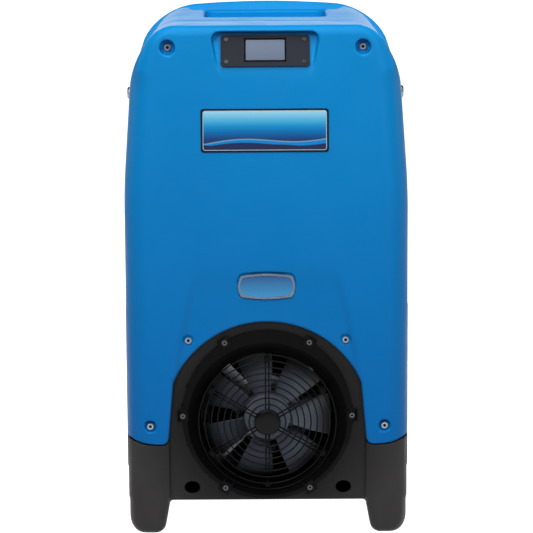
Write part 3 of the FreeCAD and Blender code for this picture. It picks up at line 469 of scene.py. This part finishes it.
def moulded(name, light, dark, rough, grain=900.0, depth_of_grain=0.00012, spec=0.5, scuffs=0.0,
            painted_shade_mask=None, deep=None):
    """Moulded plastic: fine grain, slow mottling, pale scuffs if asked, and a deeper colour blended in by a
    place mask as painted shading if asked.
    """
    material, tree, shader = new_material(name)
    colour = blend_colour(tree, mapped(tree, noise(tree, 6.0, 2.0), 0.35, 0.65, 0.0, 1.0), dark, light)
    if scuffs > 0:
        marks = noise(tree, 46.0, 9.0, 0.72)
        mask = mapped(tree, marks, 0.66, 0.78, 0.0, scuffs)
        pale = tuple(0.6 * c + 0.25 for c in light[:3]) + (1.0,)
        colour = blend_colour(tree, mask, colour, pale)
    # Painted shading: where the mask is high, deep is blended in to stand in for light and shade.
    if painted_shade_mask:
        colour = blend_colour(tree, painted_shade_mask(tree), colour, deep)
    tree.links.new(colour, shader.inputs["Base Color"])
    worn = mapped(tree, noise(tree, 18.0, 5.0), 0.3, 0.7, rough - 0.05, rough + 0.06)
    tree.links.new(worn, shader.inputs["Roughness"])
    shader.inputs["Specular IOR Level"].default_value = spec
    fine = noise(tree, grain, 2.0)
    slow = noise(tree, grain * 0.22, 2.0)
    bumps(tree, shader, [(fine, depth_of_grain, 0.5), (slow, depth_of_grain * 2.0, 0.25)])
    return material


def metal(name, colour, rough, brush=0.0):
    """Metal with slow mottling, uneven gloss and, if asked, fine brushing."""
    material, tree, shader = new_material(name)
    darker = tuple(0.82 * c for c in colour[:3]) + (1.0,)
    mottle = mapped(tree, noise(tree, 60.0, 6.0), 0.3, 0.7, 0.0, 1.0)
    tree.links.new(blend_colour(tree, mottle, darker, colour), shader.inputs["Base Color"])
    shader.inputs["Metallic"].default_value = 1.0
    worn = mapped(tree, noise(tree, 150.0, 4.0), 0.3, 0.7, rough * 0.8, rough * 1.25)
    tree.links.new(worn, shader.inputs["Roughness"])
    if brush > 0:
        bumps(tree, shader, [(noise(tree, 2200.0, 2.0), 0.00004, brush)])
    return material


# Blue housing: the deeper blue blended in low down is painted shade, darker towards the floor as light
# falls from above.
BLUE = moulded("blue plastic", linear(0, 139, 208), linear(0, 134, 202), 0.40, 700.0, 0.00010, 0.10, 0.10,
               height_painted_shade(0.15, 0.84), linear(0, 110, 186))
# Grey base: the near black blended in round the fan outlet is painted shade under the overhanging blue
# shell.
GREY = moulded("grey plastic", linear(56, 54, 54), linear(50, 48, 48), 0.55, 620.0, 0.00016, 0.14, 0.08,
               axis_painted_shading(0.190, 0.145, 0.225), linear(12, 12, 13))
BLACK = moulded("black plastic", linear(10, 10, 11), linear(6, 6, 7), 0.42, 900.0, 0.00006, 0.05)
BLACK_GLOSS = moulded("black gloss", linear(40, 43, 55), linear(33, 36, 46), 0.34, 1200.0, 0.00003, 0.12)
WIRE = moulded("guard coating", linear(6, 6, 7), linear(3, 3, 4), 0.3, 1500.0, 0.00003, 0.10)
MID_GREY = moulded("wheel plastic", linear(120, 122, 124), linear(104, 106, 108), 0.45, 800.0, 0.0001)
KEY_GREY = moulded("key rubber", linear(96, 98, 102), linear(84, 86, 90), 0.6, 900.0, 0.0001)
RUBBER = moulded("tyre rubber", linear(30, 30, 31), linear(22, 22, 23), 0.72, 500.0, 0.0002, 0.3)
STEEL = metal("plated steel", linear(150, 152, 156), 0.30, 0.3)
SCREW = metal("screw steel", linear(70, 72, 76), 0.28, 0.2)
SHINY = metal("polished steel", linear(128, 130, 134), 0.28, 0.2)
SHEET = metal("galvanised sheet", linear(150, 153, 158), 0.38, 0.3)
FINS = metal("aluminium fins", linear(190, 193, 197), 0.34, 0.2)
COPPER = metal("copper tube", linear(196, 120, 84), 0.28)
DARK_METAL = moulded("dark enamel", linear(34, 35, 38), linear(26, 27, 29), 0.3, 900.0, 0.00005, 0.5)
# Fan blades: blue-grey round the hub, falling to near black towards the tips; the dark tips are painted
# shade.
FAN_BLADE = moulded("fan blade", linear(10, 10, 11), linear(7, 7, 8), 0.4, 700.0, 0.00008, 0.2, 0.0,
                    axis_painted_shading(FAN_Z, 0.072, 0.102), linear(92, 99, 113))
NAVY = moulded("label edge", linear(2, 22, 42), linear(1, 16, 34), 0.3, 1500.0, 0.00002, 0.2)
SILVER_INK = moulded("label line", linear(186, 200, 208), linear(168, 186, 198), 0.25, 1500.0, 0.00002, 0.3)
SILVER = metal("badge rim", linear(112, 122, 134), 0.3)
PCB = moulded("circuit board", linear(20, 92, 52), linear(14, 76, 42), 0.4, 900.0, 0.00004)
FILTER = moulded("filter media", linear(222, 226, 228), linear(206, 211, 214), 0.85, 400.0, 0.0002, 0.2)
HOSE = moulded("vinyl hose", linear(206, 206, 196), linear(190, 190, 180), 0.3, 900.0, 0.00003)


def math_node(tree, operation, first, second, third=None):
    made = tree.nodes.new("ShaderNodeMath")
    made.operation = operation
    for socket, value in zip(made.inputs, (first, second, third)):
        if isinstance(value, float):
            socket.default_value = value
        elif value is not None:
            tree.links.new(value, socket)
    return made.outputs[0]


def above_wave(tree, x, height, level, swing, turns, phase, slant):
    """1 above a wavy line across the label and 0 below it."""
    angle = math_node(tree, "MULTIPLY_ADD", x, turns, phase)
    wave = math_node(tree, "MULTIPLY_ADD", math_node(tree, "SINE", angle, 0.0), swing, level)
    line = math_node(tree, "MULTIPLY_ADD", x, slant, wave)
    return mapped(tree, math_node(tree, "SUBTRACT", height, line), -0.012, 0.012, 0.0, 1.0)


def label_material():
    """Printed film: pale blue falling to deep blue, with two waves along the foot."""
    material, tree, shader = new_material("label print")
    place = tree.nodes.new("ShaderNodeSeparateXYZ")
    tree.links.new(object_place(tree), place.inputs[0])
    x = place.outputs["X"]
    height = mapped(tree, place.outputs["Z"], 0.6300, 0.6900, 0.0, 1.0)
    ramp_node = tree.nodes.new("ShaderNodeValToRGB")
    stops = [(0.0, linear(30, 46, 92)), (0.26, linear(22, 62, 118)), (0.46, linear(0, 108, 178))]
    stops += [(0.62, linear(14, 146, 206)), (0.82, linear(92, 188, 228)), (1.0, linear(158, 214, 240))]
    while len(ramp_node.color_ramp.elements) < len(stops):
        ramp_node.color_ramp.elements.new(0.5)
    for element, (place_on_ramp, colour) in zip(ramp_node.color_ramp.elements, stops):
        element.position = place_on_ramp
        element.color = colour
    tree.links.new(height, ramp_node.inputs["Fac"])
    band_top = above_wave(tree, x, height, 0.235, 0.075, 30.0, 2.9, 0.85)
    band_line = above_wave(tree, x, height, 0.215, 0.075, 30.0, 2.9, 0.85)
    band_low = above_wave(tree, x, height, 0.130, 0.070, 30.0, 2.9, 0.55)
    second_top = above_wave(tree, x, height, 0.080, 0.050, 38.0, 0.6, -0.35)
    colour = blend_colour(tree, band_top, linear(150, 172, 190), ramp_node.outputs["Color"])
    colour = blend_colour(tree, band_line, linear(0, 134, 208), colour)
    colour = blend_colour(tree, band_low, linear(28, 44, 90), colour)
    colour = blend_colour(tree, second_top, linear(34, 40, 78), colour)
    tree.links.new(colour, shader.inputs["Base Color"])
    shader.inputs["Roughness"].default_value = 0.30
    shader.inputs["Specular IOR Level"].default_value = 0.25
    return material


def graded(name, low, high, z_low, z_high, rough):
    """Colour that changes evenly with height."""
    material, tree, shader = new_material(name)
    place = tree.nodes.new("ShaderNodeSeparateXYZ")
    tree.links.new(object_place(tree), place.inputs[0])
    factor = mapped(tree, place.outputs["Z"], z_low, z_high, 0.0, 1.0)
    tree.links.new(blend_colour(tree, factor, low, high), shader.inputs["Base Color"])
    shader.inputs["Roughness"].default_value = rough
    return material


LABEL = label_material()
BADGE = graded("badge face", linear(44, 148, 206), linear(14, 88, 152), 0.392, 0.424, 0.24)
LCD = graded("display window", linear(98, 110, 130), linear(116, 130, 152), 0.772, 0.802, 0.18)

CAD_LOOKS = {
    "front_shell_screws": STEEL, "rear_shell_screws": SHINY, "shell_brackets": SHEET,
    "chassis_plate": SHEET,
    "handle_pivot_hardware": SHINY, "display_bezel": BLACK_GLOSS, "display_lens": LCD, "display_board": PCB,
    "display_screws": SCREW, "name_plate": NAVY, "badge_face": BADGE, "badge_rim": SILVER,
    "outlet_collar": BLACK, "collar_screws": SCREW, "fan_shroud": BLACK, "guard_screws": BLACK,
    "fan_rotor": FAN_BLADE, "fan_motor": DARK_METAL, "motor_bracket": SHEET, "compressor": DARK_METAL,
    "compressor_terminal_cover": BLACK, "accumulator": DARK_METAL, "compressor_grommets": RUBBER,
    "compressor_bolts": STEEL, "condensate_pump": MID_GREY, "pump_hose": HOSE, "coil_shelf": SHEET,
    "drain_tray": MID_GREY, "evaporator_coil": FINS, "condenser_coil": FINS, "heat_exchanger": FINS,
    "coil_frame": SHEET, "filter_drier": COPPER, "suction_line": COPPER, "discharge_line": COPPER,
    "liquid_line": COPPER, "electronics_box": SHEET, "electronics_lid": SHEET, "control_board": PCB,
    "air_filter_frame": GREY, "filter_media": FILTER, "inlet_grille": BLACK, "keypad_plate": BLACK_GLOSS,
    "key_power": KEY_GREY, "key_up": KEY_GREY, "key_down": KEY_GREY, "cord_gland": BLACK,
    "drain_spigot": BLACK, "cord_hooks": BLACK, "wheel_axle": STEEL, "wheel_retainers": SHINY,
    "tyre_left": RUBBER, "tyre_right": RUBBER, "rim_left": MID_GREY, "rim_right": MID_GREY,
}
for name, material in CAD_LOOKS.items():
    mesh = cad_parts[name].data
    mesh.materials.clear()
    mesh.materials.append(material)


# --------------------------------------------------------- moulded housings
def place(item, body, slot_name, *nodes):
    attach(item, body)
    if nodes:
        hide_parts(*nodes)
    return item


def padded_box(node_name, pad=0.006):
    low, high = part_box(node_name)
    return [c - pad for c in low], [c + pad for c in high]


low, high = padded_box("front_shell")
front = skin("front_shell_skin", front_shell_field, low, high, BLUE)
place(front, "cabinet", "blue_shell", "front_shell")
low, high = padded_box("rear_shell")
rear = skin("rear_shell_skin", rear_shell_field, low, high, BLUE)
place(rear, "cabinet", "blue_shell", "rear_shell")
low, high = padded_box("base_moulding")
high[2] += 0.004
tub = skin("base_skin", base_field, low, high, GREY)
place(tub, "cabinet", "grey_base", "base_moulding")

grip = skin("handle_skin", handle_field, (-0.240, -0.017, -0.026), (0.240, 0.017, 0.202), BLUE, 0.0022)
grip.data.transform(Matrix.Translation((0, PIVOT_Y, PIVOT_Z)) @ Matrix.Rotation(-HANDLE_REST, 4, "X"))
place(grip, "handle", "blue_shell", "handle")


# -------------------------------------------------------------- fan guard
def joined(name, parts, material):
    """One mesh from several (points, faces) lists."""
    points, faces = [], []
    for new_points, new_faces in parts:
        start = len(points)
        points += [tuple(p) for p in new_points]
        faces += [tuple(start + i for i in f) for f in new_faces]
    mesh = bpy.data.meshes.new(name)
    mesh.from_pydata(points, [], faces)
    mesh.update()
    item = add_object(name, mesh, material)
    mesh.shade_smooth()
    return item


def wire_loop(centre, radius, wire, around=96, sides=10):
    points, faces = [], []
    for i in range(around):
        a = 2 * math.pi * i / around
        for j in range(sides):
            b = 2 * math.pi * j / sides
            r = radius + wire * math.cos(b)
            offset = (r * math.cos(a), wire * math.sin(b), r * math.sin(a))
            points.append([c + o for c, o in zip(centre, offset)])
            here = i * sides + j
            up = i * sides + (j + 1) % sides
            on = ((i + 1) % around) * sides + j
            both_on = ((i + 1) % around) * sides + (j + 1) % sides
            faces.append((here, on, both_on, up))
    return points, faces


def turned(centre, profile, sides=48):
    """Solid turned about Y from (radius, y) points that start and end on the axis."""
    points, faces = [], []
    inner = profile[1:-1]
    for radius, y in inner:
        for i in range(sides):
            a = 2 * math.pi * i / sides
            points.append((centre[0] + radius * math.cos(a), y, centre[2] + radius * math.sin(a)))
    first = len(points)
    points.append((centre[0], profile[0][1], centre[2]))
    points.append((centre[0], profile[-1][1], centre[2]))
    for k in range(len(inner) - 1):
        for i in range(sides):
            j = (i + 1) % sides
            faces.append((k * sides + i, k * sides + j, (k + 1) * sides + j, (k + 1) * sides + i))
    for i in range(sides):
        j = (i + 1) % sides
        faces.append((first, j, i))
        end = (len(inner) - 1) * sides
        faces.append((first + 1, end + i, end + j))
    return points, faces


def straight_wire(start, end, wire, sides=10):
    start, end = Vector(start), Vector(end)
    along = (end - start).normalized()
    side = along.orthogonal().normalized()
    up = along.cross(side)
    points, faces = [], []
    for tip in (start, end):
        for j in range(sides):
            b = 2 * math.pi * j / sides
            points.append(tip + side * (wire * math.cos(b)) + up * (wire * math.sin(b)))
    for j in range(sides):
        k = (j + 1) % sides
        faces.append((j, k, sides + k, sides + j))
    faces.append(tuple(reversed(range(sides))))
    faces.append(tuple(range(sides, 2 * sides)))
    return points, faces


WIRE_R = 0.0012
RINGS = [0.0300, 0.0405, 0.0510, 0.0610, 0.0715, 0.0820, 0.0920, 0.1030, 0.1130]
SPOKES = [math.radians(30 + 60 * k) for k in range(6)]
EYELET_R = 0.105
parts = [wire_loop((0, GUARD_Y, FAN_Z), r, WIRE_R) for r in RINGS]
for a in SPOKES:
    out = Vector((math.cos(a), 0, math.sin(a)))
    across = Vector((-math.sin(a), 0, math.cos(a)))
    centre = Vector((0, GUARD_Y + 0.0026, FAN_Z))
    for side in (-1, 1):
        offset = across * (0.0028 * side)
        parts.append(straight_wire(centre + out * 0.020 + offset, centre + out * 0.101 + offset, WIRE_R))
    parts.append(wire_loop(centre + out * EYELET_R, 0.0046, WIRE_R, 32, 8))
cap = [(0, -0.0035), (0.008, -0.0034), (0.015, -0.0030), (0.019, -0.0022)]
cap += [(0.0212, -0.0010), (0.0218, 0.0004), (0.0214, 0.0040), (0, 0.0042)]
cap = [(radius, GUARD_Y + y) for radius, y in cap]
parts.append(turned((0, 0, FAN_Z), cap))
guard = joined("fan_guard_wires", parts, WIRE)
place(guard, "cabinet", "black_wire", "fan_guard")


# ------------------------------------------------------------------- label
LABEL_X = -0.0015
LABEL_Z = 0.660


def rounded_plate(name, centre_x, centre_z, width, height, corner, lift, thick, material):
    """Thin plate lying on the sloping front face, raised by lift."""
    outline = []
    for k, (sx, sz) in enumerate(((1, 1), (-1, 1), (-1, -1), (1, -1))):
        for step in range(9):
            a = math.radians(90 * k + 90 * step / 8)
            u = centre_x + sx * (width / 2 - corner) + corner * math.cos(a)
            v = centre_z + sz * (height / 2 - corner) + corner * math.sin(a)
            outline.append((u, v))
    count = len(outline)
    points = [(u, front_y(v) - lift - thick, v) for u, v in outline]
    points += [(u, front_y(v) - lift + 0.0002, v) for u, v in outline]
    faces = [tuple(reversed(range(count))), tuple(range(count, 2 * count))]
    faces += [(i, (i + 1) % count, count + (i + 1) % count, count + i) for i in range(count)]
    mesh = bpy.data.meshes.new(name)
    mesh.from_pydata(points, [], faces)
    mesh.update()
    return add_object(name, mesh, material)


line = rounded_plate("label_line", LABEL_X, LABEL_Z, 0.2005, 0.0640, 0.0040, 0.0010, 0.00015, SILVER_INK)
place(line, "cabinet", "label")
face = rounded_plate("label_face", LABEL_X, LABEL_Z, 0.1980, 0.0615, 0.0030, 0.00115, 0.00015, LABEL)
place(face, "cabinet", "label")


# ------------------------------------------------------- small fitted details
def bar_between(start, end, width_way, width, thick_way, thick):
    """Slim straight bar with bevelled long edges."""
    start, end = Vector(start), Vector(end)
    wide, deep = Vector(width_way) * (width / 2), Vector(thick_way) * (thick / 2)
    profile = [(1, 0.6), (0.7, 1), (-0.7, 1), (-1, 0.6), (-1, -0.6), (-0.7, -1), (0.7, -1), (1, -0.6)]
    points = [tip + wide * u + deep * v for tip in (start, end) for u, v in profile]
    count = len(profile)
    faces = [tuple(range(count)), tuple(reversed(range(count, 2 * count)))]
    faces += [(i, count + i, count + (i + 1) % count, (i + 1) % count) for i in range(count)]
    return points, faces


def collar_tabs():
    """Raised tabs under the collar's screws, with pairs of ribs down its throat."""
    parts = []
    for k in range(6):
        a = math.radians(60 * k)
        out = Vector((math.cos(a), 0, math.sin(a)))
        across = Vector((-math.sin(a), 0, math.cos(a)))
        z = COLLAR_Z + COLLAR_SCREW_R * math.sin(a)
        face = front_y(z) + 0.0080
        centre = Vector((COLLAR_SCREW_R * math.cos(a), face, z))
        inner, outer = centre - out * 0.009, centre + out * 0.0085
        parts.append(bar_between(inner, outer, across, 0.019, (0, 1, 0), 0.0012))
        for side in (-1, 1):
            top = inner + across * (0.0075 * side)
            foot = top - out * 0.016 + Vector((0, 0.020, 0))
            parts.append(bar_between(top, foot, across, 0.0012, out, 0.0020))
    return joined("collar_tabs", parts, BLACK)


place(collar_tabs(), "cabinet", "black_plastic")

clip_ends = [(side * 0.012, -0.2130, 0.2965) for side in (-1, 1)]
clip = bar_between(*clip_ends, (0, 0, 1), 0.0022, (0, 1, 0), 0.0016)
place(joined("collar_clip", [clip], STEEL), "cabinet", "steel")


def painted_socket_shade():
    """Black discs laid on the heads of the front and collar screws, over their drive sockets: painted shade
    inside the sockets.
    """
    parts = []
    seats = []
    for x, z, _, _ in SCREW_SEATS:
        seats += [("front_shell_screws", side * x, z, 0.0026) for side in (-1, 1)]
    for k in range(6):
        a = math.radians(60 * k)
        x, z = COLLAR_SCREW_R * math.cos(a), COLLAR_Z + COLLAR_SCREW_R * math.sin(a)
        seats.append(("collar_screws", x, z, 0.0019))
    for name, x, z, radius in seats:
        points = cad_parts[name].data.vertices
        face = min(p.co.y for p in points if math.hypot(p.co.x - x, p.co.z - z) < 0.008)
        front, back = face - 0.0003, face + 0.0004
        rim = [(0, front), (radius, front), (radius * 1.05, back), (0, back)]
        parts.append(turned((x, 0, z), rim, 6))
    return joined("painted_socket_shade", parts, BLACK)


# Black discs over the screw sockets: painted shade.
place(painted_socket_shade(), "cabinet", "black_plastic")


def display_surround():
    """Black frame around the display window, laid on the tilted bezel."""
    seat_y = front_y(DISPLAY_LOW) + DISPLAY_RISE * math.tan(DISPLAY_TILT)
    seat = Vector((0, seat_y, DISPLAY_LOW + DISPLAY_RISE))
    up = Vector((0, math.sin(DISPLAY_TILT), math.cos(DISPLAY_TILT)))
    out = Vector((0, -math.cos(DISPLAY_TILT), math.sin(DISPLAY_TILT)))
    x0, x1, v0, v1 = -0.0327, 0.0327, -0.0172, 0.0197
    lift = out * 0.0029

    def corner(x, v):
        return seat + Vector((x, 0, 0)) + up * v + lift

    parts = []
    for v in (v0, v1):
        parts.append(bar_between(corner(x0 - 0.0012, v), corner(x1 + 0.0012, v), up, 0.0024, out, 0.0016))
    for x in (x0, x1):
        parts.append(bar_between(corner(x, v0), corner(x, v1), (1, 0, 0), 0.0024, out, 0.0016))
    return joined("display_surround", parts, BLACK)


place(display_surround(), "cabinet", "black_gloss")


# ------------------------------------------------------- floor, light, camera
def floor_and_light():
    """Plain pale floor under soft panels of light."""
    bpy.ops.mesh.primitive_plane_add(size=120.0, location=(0, 0, -0.0002))
    floor = bpy.context.object
    floor.name = "floor"
    material, tree, shader = new_material("floor")
    shader.inputs["Base Color"].default_value = (0.86, 0.86, 0.86, 1)
    shader.inputs["Roughness"].default_value = 0.9
    shader.inputs["Emission Color"].default_value = (1, 1, 1, 1)
    shader.inputs["Emission Strength"].default_value = 1.15
    floor.data.materials.append(material)
    floor.visible_diffuse = False

    world = bpy.data.worlds.new("studio")
    world.use_nodes = True
    world.node_tree.nodes["Background"].inputs["Color"].default_value = (1.0, 1.0, 1.0, 1)
    world.node_tree.nodes["Background"].inputs["Strength"].default_value = 0.11
    bpy.context.scene.world = world

    panels = [
        ("overhead", (0.0, -0.9, 3.2), (0.0, 0.0, 0.6), 2.4, 1.8, 48.0),
        ("key", (-1.3, -3.4, 3.0), (0.0, 0.0, 0.5), 1.8, 2.0, 84.0),
        ("fill", (2.0, -3.4, 2.4), (0.0, 0.0, 0.45), 1.8, 2.0, 52.0),
        ("left side", (-3.2, 0.6, 1.4), (0.0, 0.0, 0.45), 1.6, 2.0, 14.0),
        ("right side", (3.2, 0.6, 1.4), (0.0, 0.0, 0.45), 1.6, 2.0, 14.0),
        ("rear", (0.0, 3.8, 1.5), (0.0, 0.0, 0.6), 4.0, 1.6, 38.0),
    ]
    for name, spot, aim, width, height, power in panels:
        data = bpy.data.lights.new(name, "AREA")
        data.shape = "RECTANGLE"
        data.size = width
        data.size_y = height
        data.energy = power
        lamp = bpy.data.objects.new(name, data)
        lamp.location = spot
        lamp.visible_camera = False
        lamp.rotation_euler = (Vector(aim) - Vector(spot)).to_track_quat("-Z", "Y").to_euler()
        bpy.context.scene.collection.objects.link(lamp)


def camera():
    """Long lens, a little above the middle of the machine and straight in front."""
    aim = Vector((0.0, 0.0, 0.4037))
    rise = math.radians(9.0)
    roll = math.radians(-0.35)
    distance = 3.9
    data = bpy.data.cameras.new("camera")
    data.sensor_width = 36.0
    data.lens = 152.7
    data.clip_end = 200.0
    item = bpy.data.objects.new("camera", data)
    item.location = aim + Vector((0, -math.cos(rise), math.sin(rise))) * distance
    level = (aim - item.location).to_track_quat("-Z", "Y").to_matrix()
    item.rotation_euler = (level @ Matrix.Rotation(roll, 3, "Z")).to_euler()
    bpy.context.scene.collection.objects.link(item)
    bpy.context.scene.camera = item


floor_and_light()
camera()
bpy.context.scene.view_settings.view_transform = "Standard"
